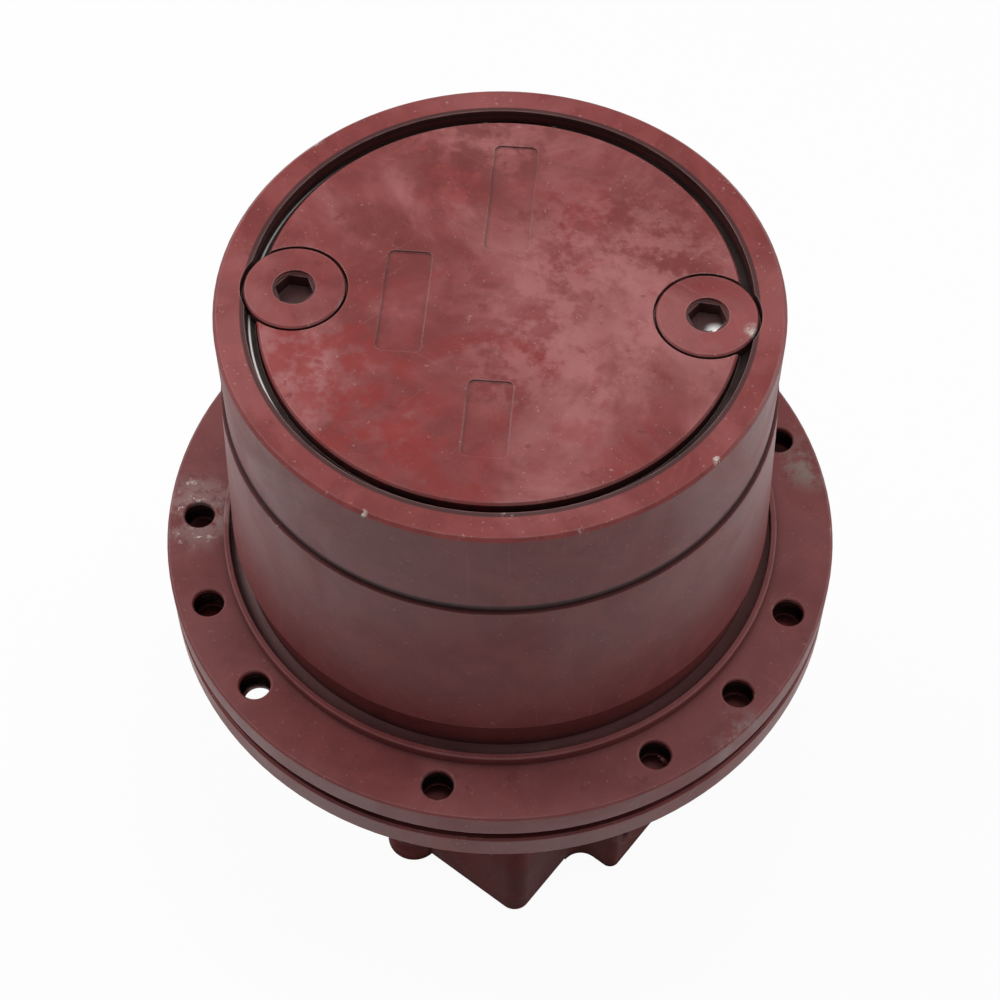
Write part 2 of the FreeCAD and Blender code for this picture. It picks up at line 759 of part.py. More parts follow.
# ---------------------------------------------------------------- hub
def hub_spindle():
    """Fixed hub: frame flange, pilot, motor shell below and bearing spindle above."""
    seal_floor = z_seal - seal_half_height - seal_floor_gap
    collar_top = z_seal - seal_collar_drop
    outline = [
        (spindle_hollow_radius, z_hub_top), (spindle_top_radius, z_hub_top),
        (spindle_top_radius, z_second_carrier), (nut_thread_radius, z_second_carrier),
        (nut_thread_radius, z_nut), (bearing_bore, z_nut), (bearing_bore, z_lower_bearing),
        (spindle_radius, z_lower_bearing), (spindle_radius, seal_floor), (seal_bore, seal_floor),
        (seal_bore, collar_top), (seal_collar_radius, collar_top),
        (seal_collar_radius, frame_flange_thickness), (flange_radius, frame_flange_thickness),
        (flange_radius, 0), (frame_pilot_radius, 0), (frame_pilot_radius, -frame_pilot_height),
        (motor_shell_radius + shell_slope_rim, -frame_pilot_height - shell_slope_height),
        (motor_shell_radius, z_joint + joint_ledge_height + joint_ledge_slope),
        (joint_ledge_radius, z_joint + joint_ledge_height), (joint_ledge_radius, z_joint),
        (0, z_joint), (0, z_hollow_floor),
        (spindle_hollow_radius, z_hollow_floor),
    ]
    body = turned(outline)
    body = bevel(body, flange_chamfer, lambda e: is_circle(e, flange_radius, frame_flange_thickness)
                 or is_circle(e, flange_radius, 0))
    return body.cut(hub_cuts())


def cover_bolt_angles():
    return even_angles(cover_bolt_count, block_turn + 180.0 / cover_bolt_count)


def dowel_angles():
    return even_angles(2, block_turn)


def hub_cuts():
    """Motor chamber, swash cradle, shaft bores and bolt holes of the hub."""
    cuts = [disc(motor_bore, z_joint - 1, z_spring_seat)]
    cuts.append(disc(swash_bore, z_spring_seat - 1, swash_height))
    cradle = Part.makeCylinder(swash_radius + running_clearance, 2 * swash_half_length + 1,
                               V(-swash_half_length - 0.5, 0, swash_height), V(1, 0, 0))
    cuts.append(cradle.common(disc(swash_bore, swash_height - 1, z_cradle_top + 1)))
    cuts.append(disc(shaft_bearing_radius, z_cradle_top - cradle_opening,
                     z_front_bearing + shaft_bearing_height))
    cuts.append(disc(shaft_seal_radius, z_front_bearing, z_hollow_floor + 1))
    cuts.append(ring(spindle_top_radius - carrier_ring_depth, spindle_top_radius + 1,
                     z_carrier_ring, z_carrier_ring + carrier_ring_height))
    cuts += tapped_holes(frame_bolt_circle, even_angles(frame_bolt_count, frame_bolt_turn),
                         0, frame_flange_thickness)
    bolt = disc(cover_bolt_radius, z_joint - 1, z_joint + cover_bolt_grip, cover_bolt_circle, 0)
    cuts += pattern(bolt, cover_bolt_angles())
    dowel = disc(dowel_radius, z_joint - 1, z_joint + dowel_length / 2, cover_bolt_circle, 0)
    cuts += pattern(dowel, dowel_angles())
    return cuts


# ---------------------------------------------------------------- carriers and planets
def planet_holes(radius, circle, bottom, top, count):
    return pattern(disc(radius, bottom, top, circle, 0), even_angles(count))


def second_carrier():
    """Disc fixed on the hub that carries the second planets' pins."""
    top = z_hub_top
    body = ring(spindle_top_radius, second_carrier_radius, z_second_carrier, top)
    counterbore = disc(carrier_ring_outer, z_carrier_ring, top + 1)
    pins = planet_holes(second_pin_radius, second_circle, z_second_carrier - 1, top + 1, second_planet_count)
    window = disc(carrier_window_radius, z_second_carrier - 1, top + 1,
                  second_circle + carrier_window_offset, 0)
    windows = pattern(window, even_angles(second_planet_count, 180.0 / second_planet_count))
    return body.cut([counterbore] + pins + windows)


def carrier_snap_ring():
    return ring(spindle_top_radius - carrier_ring_depth, carrier_ring_outer,
                z_carrier_ring, z_carrier_ring + carrier_ring_height)


def headed_pins(radius, circle, bottom, head, count):
    """Pins pressed in a carrier, each with a head that holds its planet."""
    shank = disc(radius, bottom, head, circle, 0)
    cap = disc(radius + pin_head_rim, head, head + pin_head_height, circle, 0)
    return pattern(joined([shank, cap]), even_angles(count))


def washers(radius, circle, bottom, count):
    one = ring(radius, radius + washer_rim, bottom, bottom + washer_thickness, circle, 0)
    return pattern(one, even_angles(count))


def first_carrier():
    """Disc that carries the first planets and drives the second sun."""
    top = z_first_washer
    body = ring(second_sun_neck_radius, first_carrier_radius, z_first_carrier, top)
    pins = planet_holes(first_pin_radius, first_circle, z_first_carrier - 1, top + 1, first_planet_count)
    window = disc(first_window_radius, z_first_carrier - 1, top + 1, first_circle, 0)
    windows = pattern(window, even_angles(first_planet_count, 180.0 / first_planet_count))
    return body.cut(pins + windows)


def second_sun():
    """Second-stage sun with the neck that carries the first carrier."""
    place = 0.0
    teeth = gear_body(second_sun_teeth, second_gear_width,
                      sun_phase(second_sun_teeth, second_planet_teeth, place))
    teeth.translate(V(0, 0, z_second_gear))
    neck = disc(second_sun_neck_radius, z_second_gear_top - 1, z_first_washer)
    return joined([teeth, neck]).cut(disc(second_sun_bore, z_second_gear - 1, z_first_washer + 1))


def first_sun():
    """Sun at the end of the input shaft."""
    teeth = gear_body(first_sun_teeth, first_gear_width,
                      sun_phase(first_sun_teeth, first_planet_teeth, 0.0))
    teeth.translate(V(0, 0, z_first_gear))
    return teeth.cut(disc(shaft_radius, z_first_gear - 1, z_first_gear_top + 1))


def thrust_pad():
    """Bronze pad under the cover that the input shaft runs against."""
    return disc(shaft_radius + thrust_pad_rim, z_shaft_top + face_clearance, z_cover_bottom)


# ---------------------------------------------------------------- motor
def drive_shaft():
    """Input shaft from the rear bearing up to the first sun, with the block's spline."""
    end = z_rear_bearing + shaft_end_gap
    body = disc(shaft_radius, end, z_shaft_top)
    spline = disc(shaft_spline_radius, z_rotor + block_foot_height, z_retainer + retainer_thickness)
    return bevel(joined([body, spline]), shaft_end_chamfer, lambda e: is_circle(e, shaft_radius, end))


def front_shaft_bearing():
    return ring(shaft_radius + running_clearance, shaft_bearing_radius, z_front_bearing,
                z_front_bearing + shaft_bearing_height)


def rear_shaft_bearing():
    return ring(shaft_radius + running_clearance, rear_bearing_radius, z_rear_bearing,
                z_rear_bearing + rear_bearing_height)


def shaft_seal():
    return ring(shaft_radius + running_clearance, shaft_seal_radius, z_shaft_seal,
                z_shaft_seal + shaft_seal_height)


def cylinder_block():
    """Barrel with nine bores, splined on the shaft."""
    foot_top = z_rotor + block_foot_height
    floor = z_rotor + block_bore_floor
    body = ring(shaft_spline_radius, block_radius, foot_top, z_rotor_top)
    foot = ring(shaft_spline_radius + block_foot_height, block_radius, z_rotor, foot_top)
    bore = disc(piston_radius, floor, z_rotor_top + 1, piston_circle, 0)
    feed = disc(feed_radius, z_rotor - 1, floor + 1, piston_circle, 0)
    return joined([body, foot]).cut(pattern(joined([bore, feed]), even_angles(piston_count)))


def pistons():
    """Pistons fully home, each with its neck and slipper shoe."""
    shank = disc(piston_radius, z_rotor + block_bore_floor + piston_floor_gap,
                 z_retainer - piston_floor_gap, piston_circle, 0)
    neck = disc(piston_neck_radius, z_retainer - piston_floor_gap, z_shoe, piston_circle, 0)
    shoe = disc(shoe_radius, z_shoe, z_shoe_top, piston_circle, 0)
    return pattern(joined([shank, neck, shoe]), even_angles(piston_count))


def retainer_plate():
    body = ring(shaft_spline_radius, retainer_radius, z_retainer, z_shoe)
    hole = disc(piston_neck_radius, z_retainer - 1, z_shoe + 1, piston_circle, 0)
    return body.cut(pattern(hole, even_angles(piston_count)))


def swash_plate():
    """Tilting plate with a half-round back that rocks in the hub's cradle."""
    back = Part.makeCylinder(swash_radius, 2 * swash_half_length,
                             V(-swash_half_length, 0, swash_height), V(1, 0, 0))
    body = back.common(disc(swash_bore - swash_clip, swash_height, swash_height + swash_radius + 1))
    body = body.cut(disc(swash_shaft_hole, swash_height - 1, swash_height + swash_radius + 1))
    return turn(body, swash_tilt, V(0, 0, swash_height), V(1, 0, 0))


def valve_plate():
    """Plate between the block and the valve body with two kidney ports."""
    top = z_joint + valve_plate_thickness
    body = ring(valve_plate_bore, valve_plate_radius, z_joint, top)
    kidney = ring(piston_circle - kidney_half_width, piston_circle + kidney_half_width, z_joint - 1, top + 1)
    span = Part.makeBox(valve_plate_radius, 2 * kidney_half_span, valve_plate_thickness + 2,
                        V(0, -kidney_half_span, z_joint - 1))
    kidney = kidney.common(span)
    return body.cut([turn(kidney, block_turn + 90.0), turn(kidney, block_turn - 90.0)])


def brake_plates():
    """Steel plates keyed in the hub."""
    return [ring(brake_plate_inner, motor_bore, z_brake_base + k * brake_pitch,
                 z_brake_base + k * brake_pitch + brake_plate_thickness) for k in range(brake_disc_count + 1)]


def brake_discs():
    """Friction discs splined on the cylinder block."""
    first = z_brake_base + brake_plate_thickness + face_clearance
    return [ring(block_radius, brake_disc_radius, first + k * brake_pitch,
                 first + k * brake_pitch + brake_disc_thickness) for k in range(brake_disc_count)]


def brake_piston():
    return ring(brake_plate_inner, motor_bore - running_clearance, z_brake_piston,
                z_brake_piston + brake_piston_height)


def brake_springs():
    """Springs between the brake piston and the shoulder above it."""
    bottom = z_brake_piston + brake_piston_height
    circle = (brake_plate_inner + motor_bore) / 2
    inner = brake_spring_radius - brake_spring_wall
    coil = ring(inner, brake_spring_radius, bottom, z_spring_seat, circle, 0)
    return pattern(coil, even_angles(brake_spring_count))


# ---------------------------------------------------------------- valve block
def side_cylinder(radius, x_start, x_end, y, z):
    """Cylinder along the block's own X."""
    return Part.makeCylinder(radius, abs(x_end - x_start), V(min(x_start, x_end), y, z), V(1, 0, 0))


def cross_cylinder(radius, y_start, y_end, x, z):
    """Cylinder along the block's own Y."""
    return Part.makeCylinder(radius, abs(y_end - y_start), V(x, min(y_start, y_end), z), V(0, 1, 0))


def in_block(shape):
    """Turn a shape drawn in the block's own directions into the drive's frame."""
    return turn(shape, block_turn)


def valve_block():
    """Cast end cover with the counterbalance bore across it and the ports on one side."""
    body = rounded_plate(2 * block_half_length, 2 * block_half_width, block_corner,
                         z_block_bottom, z_joint, 0, 0)
    body = bevel(body, block_edge, lambda e: abs(e.BoundBox.ZMax - z_block_bottom) < 1e-4)
    boss = cross_cylinder(spool_boss_radius, -spool_boss_reach, spool_boss_reach, 0, z_spool)
    boss = bevel(boss, spool_boss_chamfer, lambda e: e.BoundBox.YLength < 1e-4)
    body = soften(joined([body, boss]), spool_boss_fillet, is_boss_foot)
    parts = [body, ring(motor_bore - spigot_width, motor_bore, z_joint - 1, z_brake_base)]
    for place in port_places:
        parts.append(side_cylinder(port_boss_radius, -block_half_length - port_boss_height,
                                   -block_half_length + boss_root, place, z_spool))
    parts.append(side_cylinder(drain_boss_radius, block_half_length - boss_root,
                               block_half_length + drain_boss_height, 0, z_spool))
    return in_block(joined(parts).cut(valve_block_cuts()))


def is_boss_foot(edge):
    """True for the circles where the spool boss leaves the block's flat sides."""
    if not isinstance(edge.Curve, Part.Circle):
        return False
    on_side = abs(abs(edge.Curve.Center.y) - block_half_width) < 1e-4 and edge.BoundBox.YLength < 1e-4
    return on_side and abs(edge.Curve.Radius - spool_boss_radius) < 1e-4


def valve_block_cuts():
    """Spool bore, ports, passages, bearing pocket and bolt holes in the block's own directions."""
    cuts = [cross_cylinder(spool_radius, -spool_boss_reach - 1, spool_boss_reach + 1, 0, z_spool)]
    for side in (-1, 1):
        cuts.append(cross_cylinder(cap_thread_radius, side * (spool_boss_reach - cap_thread_length),
                                   side * (spool_boss_reach + 1), 0, z_spool))
        cuts.append(disc(passage_radius, z_spool, z_joint + 1, 0, side * piston_circle))
        cuts.append(side_cylinder(relief_radius, block_half_length - relief_depth,
                                  block_half_length + 1, side * relief_place, z_spool))
        cuts.append(side_cylinder(gauge_plug_radius, block_half_length - gauge_plug_depth,
                                  block_half_length + 1, side * gauge_plug_place, z_gauge_plugs))
    port_face = -block_half_length - port_boss_height
    for place in port_places:
        cuts.append(side_cylinder(port_radius, port_face - 1, port_face + port_depth, place, z_spool))
        cuts.append(side_cylinder(passage_radius, port_face + port_depth - 1, 0, place, z_spool))
    drain_face = block_half_length + drain_boss_height
    cuts.append(side_cylinder(drain_radius, drain_face - drain_depth, drain_face + 1, 0, z_spool))
    drain_line = motor_bore - drain_inset
    cuts.append(side_cylinder(drain_passage_radius, drain_line, drain_face - drain_depth + 1, 0, z_spool))
    cuts.append(disc(drain_passage_radius, z_spool, z_brake_base + 1, drain_line, 0))
    cuts.append(disc(rear_bearing_radius, z_rear_bearing, z_joint + 1))
    seal_inner = motor_bore + face_seal_wall
    cuts.append(ring(seal_inner, seal_inner + face_seal_width, z_joint - face_seal_width, z_joint + 1))
    pocket = rounded_plate(block_pocket_length, block_pocket_width, block_corner,
                           z_block_bottom - 1, z_block_bottom + block_pocket_depth, 0, 0)
    cuts.append(pocket)
    for angle in even_angles(cover_bolt_count, 180.0 / cover_bolt_count):
        spot = on_circle(cover_bolt_circle, angle)
        cuts.append(disc(cover_bolt_radius, z_block_bottom, z_joint + 1, spot.x, spot.y))
        cuts.append(disc(cover_bolt_head_radius + cover_bolt_head_gap, z_block_bottom - 1,
                         z_block_bottom + cover_bolt_recess, spot.x, spot.y))
    for side in (-1, 1):
        cuts.append(disc(dowel_radius, z_joint - dowel_length / 2, z_joint + 1, side * cover_bolt_circle, 0))
    return cuts


def block_bolts():
    """Socket-head bolts from the block's underside into the hub."""
    head_bottom = z_block_bottom + cover_bolt_recess
    head_end = head_bottom - cover_bolt_head_height
    shank_end = z_joint + cover_bolt_grip - cover_bolt_end_gap
    shank = disc(cover_bolt_radius, head_bottom, shank_end, cover_bolt_circle, 0)
    head = disc(cover_bolt_head_radius, head_end, head_bottom, cover_bolt_circle, 0)
    socket = hexagon(cover_bolt_socket, head_end - 1, head_end + cover_bolt_head_height / 2,
                     cover_bolt_circle, 0)
    return pattern(joined([shank, head]).cut(socket), cover_bolt_angles())


def dowels():
    pin = disc(dowel_radius, z_joint - dowel_length / 2, z_joint + dowel_length / 2, cover_bolt_circle, 0)
    return pattern(pin, dowel_angles())


def joint_seal():
    inner = motor_bore + face_seal_wall
    return ring(inner, inner + face_seal_width, z_joint - face_seal_width, z_joint)


def counterbalance_spool():
    """Spool with three lands between its grooves."""
    radius = spool_radius - running_clearance
    body = cross_cylinder(radius, -spool_half_length, spool_half_length, 0, z_spool)
    groove_half = spool_half_length * spool_land_share
    cuts = []
    for place in (-spool_half_length / 2, 0, spool_half_length / 2):
        outer = cross_cylinder(radius + 1, place - groove_half, place + groove_half, 0, z_spool)
        core = cross_cylinder(radius * spool_core_share, place - groove_half - 1,
                              place + groove_half + 1, 0, z_spool)
        cuts.append(outer.cut(core))
    return in_block(body.cut(cuts))


def spool_springs():
    """One spring in each cap, pressed to the spool's full travel."""
    near = spool_spring_start + spool_travel
    far = near + spool_spring_length
    coils = []
    for side in (-1, 1):
        outer = cross_cylinder(spool_spring_radius, side * near, side * far, 0, z_spool)
        core = cross_cylinder(spool_spring_radius - spool_spring_wall, side * (near - 1),
                              side * (far + 1), 0, z_spool)
        coils.append(in_block(outer.cut(core)))
    return coils


def spool_cap(side):
    """Flanged socket cap that closes one end of the spool bore."""
    end = spool_boss_reach + cap_head_height
    body = disc(cap_thread_radius, spool_boss_reach - cap_thread_length, spool_boss_reach)
    head = disc(cap_head_radius, spool_boss_reach, end)
    head = bevel(head, cap_head_chamfer, lambda e: abs(e.BoundBox.ZMin - end) < 1e-6)
    socket = hexagon(cap_socket_width, end - cap_socket_depth, end + 1)
    cap = lay(joined([body, head]).cut(socket), (0, side, 0))
    cap.translate(V(0, 0, z_spool))
    return in_block(cap)


def relief_valve(side):
    """Screw-in relief cartridge with a hexagon head."""
    body = side_cylinder(relief_radius, block_half_length - relief_depth, block_half_length,
                         side * relief_place, z_spool)
    head = lay(hexagon(relief_width, block_half_length, block_half_length + relief_head_height), (1, 0, 0))
    head.translate(V(0, side * relief_place, z_spool))
    return in_block(joined([body, head]))


def gauge_plugs():
    """Two small socket plugs, sunk flush."""
    plugs = []
    for side in (-1, 1):
        body = side_cylinder(gauge_plug_radius, block_half_length - gauge_plug_depth, block_half_length,
                             side * gauge_plug_place, z_gauge_plugs)
        socket = hexagon(gauge_plug_radius, block_half_length - gauge_socket_depth, block_half_length + 1)
        socket = lay(socket, (1, 0, 0))
        socket.translate(V(0, side * gauge_plug_place, z_gauge_plugs))
        plugs.append(in_block(body.cut(socket)))
    return plugs


# ---------------------------------------------------------------- nodes
def housing_nodes():
    left, right = plug_centres()[1], plug_centres()[0]
    return {
        "drum_housing": drum_housing(),
        "cover": cover(),
        "cover_seal": cover_seal(),
        "cover_snap_ring": snap_ring(),
        "oil_plug_left": oil_plug(left),
        "oil_plug_right": oil_plug(right),
        "plug_seals": plug_seals(),
        "thrust_pad": thrust_pad(),
        "lower_outer_race": bearing_race(z_lower_bearing, False, False),
        "upper_outer_race": bearing_race(z_upper_bearing, True, False),
        "turning_seal_ring": seal_ring(True),
        "turning_seal_rubber": seal_rubber(True),
    }


def hub_nodes():
    return {
        "hub_spindle": hub_spindle(),
        "lower_inner_race": bearing_race(z_lower_bearing, False, True),
        "upper_inner_race": bearing_race(z_upper_bearing, True, True),
        "bearing_spacer": bearing_spacer(),
        "bearing_nut": bearing_nut(),
        "fixed_seal_ring": seal_ring(False),
        "fixed_seal_rubber": seal_rubber(False),
        "second_carrier": second_carrier(),
        "carrier_snap_ring": carrier_snap_ring(),
        "second_planet_pins": headed_pins(second_pin_radius, second_circle, z_second_carrier,
                                          z_second_gear_top + face_clearance, second_planet_count),
        "second_planet_washers": washers(second_pin_radius, second_circle, z_second_washer,
                                         second_planet_count),
        "front_shaft_bearing": front_shaft_bearing(),
        "rear_shaft_bearing": rear_shaft_bearing(),
        "shaft_seal": shaft_seal(),
        "valve_plate": valve_plate(),
        "brake_plates": brake_plates(),
        "valve_block": valve_block(),
        "block_bolts": block_bolts(),
        "block_dowels": dowels(),
        "joint_seal": joint_seal(),
        "spool_springs": spool_springs(),
        "spool_caps": [spool_cap(-1), spool_cap(1)],
        "relief_valves": [relief_valve(-1), relief_valve(1)],
        "gauge_plugs": gauge_plugs(),
    }


def gear_nodes():
    nodes = {
        "first_carrier": first_carrier(),
        "first_planet_pins": headed_pins(first_pin_radius, first_circle, z_first_carrier,
                                         z_first_gear_top + face_clearance, first_planet_count),
        "first_planet_washers": washers(first_pin_radius, first_circle, z_first_washer,
                                        first_planet_count),
        "second_sun": second_sun(),
        "lower_bearing_rollers": bearing_rollers(z_lower_bearing, False),
        "upper_bearing_rollers": bearing_rollers(z_upper_bearing, True),
    }
    for k, place in enumerate(planet_places(first_planet_count), 1):
        nodes[f"first_planet_{k}"] = planet_gear(first_planet_teeth, first_gear_width, first_circle,
                                                 first_pin_radius, place, z_first_gear)
    for k, place in enumerate(planet_places(second_planet_count), 1):
        nodes[f"second_planet_{k}"] = planet_gear(second_planet_teeth, second_gear_width, second_circle,
                                                  second_pin_radius, place, z_second_gear)
    return nodes


def motor_nodes():
    return {
        "drive_shaft": drive_shaft(),
        "first_sun": first_sun(),
        "cylinder_block": cylinder_block(),
        "pistons": pistons(),
        "retainer_plate": retainer_plate(),
        "brake_discs": brake_discs(),
        "swash_plate": swash_plate(),
        "brake_piston": brake_piston(),
        "brake_springs": brake_springs(),
        "counterbalance_spool": counterbalance_spool(),
    }


def main():
    os.makedirs("parts", exist_ok=True)
    nodes = {}
    for group in (housing_nodes(), hub_nodes(), gear_nodes(), motor_nodes()):
        nodes.update(group)
    for name, shape in nodes.items():
        if isinstance(shape, list):
            shape = Part.makeCompound(shape)
        shape.exportStep(f"parts/{name}.step")


main()
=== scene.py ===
import json
from math import cos, pi, radians, sin

import bpy
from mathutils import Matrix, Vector


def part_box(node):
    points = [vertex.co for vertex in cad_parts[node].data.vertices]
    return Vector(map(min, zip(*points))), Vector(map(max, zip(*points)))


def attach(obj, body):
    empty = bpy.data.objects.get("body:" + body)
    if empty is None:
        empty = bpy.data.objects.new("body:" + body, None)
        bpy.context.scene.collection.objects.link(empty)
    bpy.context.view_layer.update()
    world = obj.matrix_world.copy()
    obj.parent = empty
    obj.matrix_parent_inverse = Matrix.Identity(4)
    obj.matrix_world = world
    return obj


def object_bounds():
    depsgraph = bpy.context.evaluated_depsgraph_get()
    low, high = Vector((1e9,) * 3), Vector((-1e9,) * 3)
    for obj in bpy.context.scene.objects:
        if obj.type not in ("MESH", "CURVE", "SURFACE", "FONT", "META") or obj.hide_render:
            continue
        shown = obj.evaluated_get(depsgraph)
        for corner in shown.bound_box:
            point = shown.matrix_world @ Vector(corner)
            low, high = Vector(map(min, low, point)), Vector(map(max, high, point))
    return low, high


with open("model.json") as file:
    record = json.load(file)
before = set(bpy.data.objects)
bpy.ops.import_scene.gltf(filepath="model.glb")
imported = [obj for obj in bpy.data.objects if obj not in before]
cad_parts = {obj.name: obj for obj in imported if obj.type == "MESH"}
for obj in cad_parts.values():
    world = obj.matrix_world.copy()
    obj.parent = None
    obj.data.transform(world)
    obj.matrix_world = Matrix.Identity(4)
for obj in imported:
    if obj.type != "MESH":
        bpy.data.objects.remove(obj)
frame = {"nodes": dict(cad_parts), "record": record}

# Looks for the excavator final drive. Metres, in the CAD's own frame.

cad_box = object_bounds()
record = frame["record"]
nodes = frame["nodes"]
mounts = {m["name"]: m for m in record["mounts"]}


# ---------------------------------------------------------------- sizes read from the frame
drum_low, drum_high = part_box("drum_housing")
rim_height = drum_high[2]
sprocket_face = mounts["sprocket_face"]["pos_m"][2]
sprocket_foot = drum_low[2]

photo_turn = radians(11.1)      # the photograph looks from this azimuth


# ---------------------------------------------------------------- node tree helpers
class Tree:
    """Short calls for building one material's node tree."""

    def __init__(self, name):
        self.material = bpy.data.materials.new(name)
        self.material.use_nodes = True
        self.tree = self.material.node_tree
        self.tree.nodes.clear()
        self.out = self.node("ShaderNodeOutputMaterial")
        self.place = self.node("ShaderNodeTexCoord").outputs["Object"]

    def node(self, kind, **settings):
        made = self.tree.nodes.new(kind)
        for key, value in settings.items():
            setattr(made, key, value)
        return made

    def feed(self, socket, value):
        if hasattr(value, "is_linked"):
            self.tree.links.new(value, socket)
        else:
            socket.default_value = value

    def math(self, operation, a, b=0.0, c=None, clamp=False):
        made = self.node("ShaderNodeMath", operation=operation, use_clamp=clamp)
        self.feed(made.inputs[0], a)
        self.feed(made.inputs[1], b)
        if c is not None:
            self.feed(made.inputs[2], c)
        return made.outputs[0]

    def vector(self, operation, a, b=(0.0, 0.0, 0.0), scale=None, result="Vector"):
        made = self.node("ShaderNodeVectorMath", operation=operation)
        self.feed(made.inputs[0], a)
        self.feed(made.inputs[1], b)
        if scale is not None:
            made.inputs["Scale"].default_value = scale
        return made.outputs[result]

    def noise(self, scale, detail=3.0, rough=0.55, place=None, distortion=0.0):
        made = self.node("ShaderNodeTexNoise")
        self.feed(made.inputs["Vector"], self.place if place is None else place)
        made.inputs["Scale"].default_value = scale
        made.inputs["Detail"].default_value = detail
        made.inputs["Roughness"].default_value = rough
        made.inputs["Distortion"].default_value = distortion
        return made.outputs["Fac"]

    def stretched(self, x, y, z):
        """Coordinates scaled apart, for streaks."""
        return self.vector("MULTIPLY", self.place, (x, y, z))

    def step(self, value, low, high, to_low=0.0, to_high=1.0):
        made = self.node("ShaderNodeMapRange", interpolation_type="SMOOTHSTEP")
        self.feed(made.inputs["Value"], value)
        made.inputs["From Min"].default_value = low
        made.inputs["From Max"].default_value = high
        made.inputs["To Min"].default_value = to_low
        made.inputs["To Max"].default_value = to_high
        return made.outputs["Result"]

    def mix(self, share, a, b):
        made = self.node("ShaderNodeMix", data_type="RGBA")
        self.feed(made.inputs["Factor"], share)
        self.feed(made.inputs[6], a)
        self.feed(made.inputs[7], b)
        return made.outputs[2]

    def blend(self, share, a, b):
        made = self.node("ShaderNodeMix", data_type="FLOAT")
        self.feed(made.inputs[0], share)
        self.feed(made.inputs[2], a)
        self.feed(made.inputs[3], b)
        return made.outputs[0]

    def split(self, vector):
        made = self.node("ShaderNodeSeparateXYZ")
        self.feed(made.inputs[0], vector)
        return made.outputs

    def edges(self, radius):
        """One on the sharp edges, zero on the faces."""
        bevel_and_glint = self.node("ShaderNodeBevel", samples=4)
        bevel_and_glint.inputs["Radius"].default_value = radius
        flat = self.node("ShaderNodeNewGeometry").outputs["Normal"]
        same = self.vector("DOT_PRODUCT", bevel_and_glint.outputs["Normal"], flat, result="Value")
        return self.step(same, 0.999, 0.80)

    def hollows(self, distance):
        """One in corners and gaps, zero in the open; the paints darken by it as painted shade."""
        made = self.node("ShaderNodeAmbientOcclusion", samples=8)
        made.inputs["Distance"].default_value = distance
        return self.step(made.outputs["AO"], 0.85, 0.25)

    def bump(self, height, distance, strength=1.0, normal=None):
        made = self.node("ShaderNodeBump")
        self.feed(made.inputs["Height"], height)
        made.inputs["Distance"].default_value = distance
        made.inputs["Strength"].default_value = strength
        if normal is not None:
            self.feed(made.inputs["Normal"], normal)
        return made.outputs["Normal"]

    def rounded(self, radius):
        made = self.node("ShaderNodeBevel", samples=4)
        made.inputs["Radius"].default_value = radius
        return made.outputs["Normal"]

    def scratch_lines(self):
        """Thin long scratches in two directions, gathered in places."""
        lines = None
        for turn_degrees, scale in ((24.0, 9.0), (-51.0, 13.0)):
            turned = self.node("ShaderNodeVectorRotate", rotation_type="Z_AXIS")
            self.feed(turned.inputs["Vector"], self.place)
            turned.inputs["Angle"].default_value = radians(turn_degrees)
            along = self.vector("MULTIPLY", turned.outputs["Vector"], (1.0, 70.0, 1.0))
            thin = self.step(self.noise(scale, 1.0, 0.4, along), 0.735, 0.765)
            lines = thin if lines is None else self.math("MAXIMUM", lines, thin)
        return self.math("MULTIPLY", lines, self.step(self.noise(11.0, 2.0), 0.42, 0.62))

    def ring_zone(self, inner, outer, low, high, soft=0.0003):
        """One inside a ring about the axis, between two radii and two heights."""
        x, y, z = self.split(self.place)
        flat = self.math("ADD", self.math("MULTIPLY", x, x), self.math("MULTIPLY", y, y))
        radius = self.math("SQRT", flat)
        across = self.math("MULTIPLY", self.step(radius, inner - soft, inner + soft),
                           self.step(radius, outer + soft, outer - soft))
        upright = self.math("MULTIPLY", self.step(z, low - soft, low + soft),
                            self.step(z, high + soft, high - soft))
        return self.math("MULTIPLY", across, upright)

    def near(self, centre, radius):
        """One at a point, falling to zero at a distance."""
        away = self.vector("DISTANCE", self.place, centre, result="Value")
        return self.step(away, radius, radius * 0.25)

    def finish(self, colour, rough, normal, metallic=0.0, coat=0.0, coat_rough=0.2, specular=0.5):
        shader = self.node("ShaderNodeBsdfPrincipled")
        self.feed(shader.inputs["Base Color"], colour)
        self.feed(shader.inputs["Roughness"], rough)
        self.feed(shader.inputs["Metallic"], metallic)
        self.feed(shader.inputs["Normal"], normal)
        shader.inputs["Coat Weight"].default_value = coat
        shader.inputs["Coat Roughness"].default_value = coat_rough
        shader.inputs["Specular IOR Level"].default_value = specular
        self.tree.links.new(shader.outputs[0], self.out.inputs["Surface"])
        return self.material


def srgb(red, green, blue):
    """Linear colour from 0-255 display values."""
    def line(value):
        value /= 255.0
        return value / 12.92 if value <= 0.04045 else ((value + 0.055) / 1.055) ** 2.4
    return (line(red), line(green), line(blue), 1.0)


# ---------------------------------------------------------------- paint
RED = srgb(122, 52, 50)
RED_DEEP = srgb(98, 33, 32)
RED_WET = srgb(128, 34, 30)
# Pale colour for painted sheen and for scratches.
SCRATCH_AND_SHEEN = srgb(162, 102, 101)
# Near-black for painted shade, and for grime.
SHADE_AND_GRIME = srgb(30, 15, 15)
BARE = srgb(196, 188, 180)
# Pale colour for dust specks and for the painted highlight on edges.
DUST_AND_HIGHLIGHT = srgb(168, 132, 128)
# Near-white for painted glints and highlights.
GLINT = srgb(250, 248, 244)


def on_drum(turn_degrees, radius, height):
    """A point on the drum by its angle round the axis, as the photograph's viewer sees it."""
    angle = radians(turn_degrees) + photo_turn
    return (radius * cos(angle), radius * sin(angle), height)


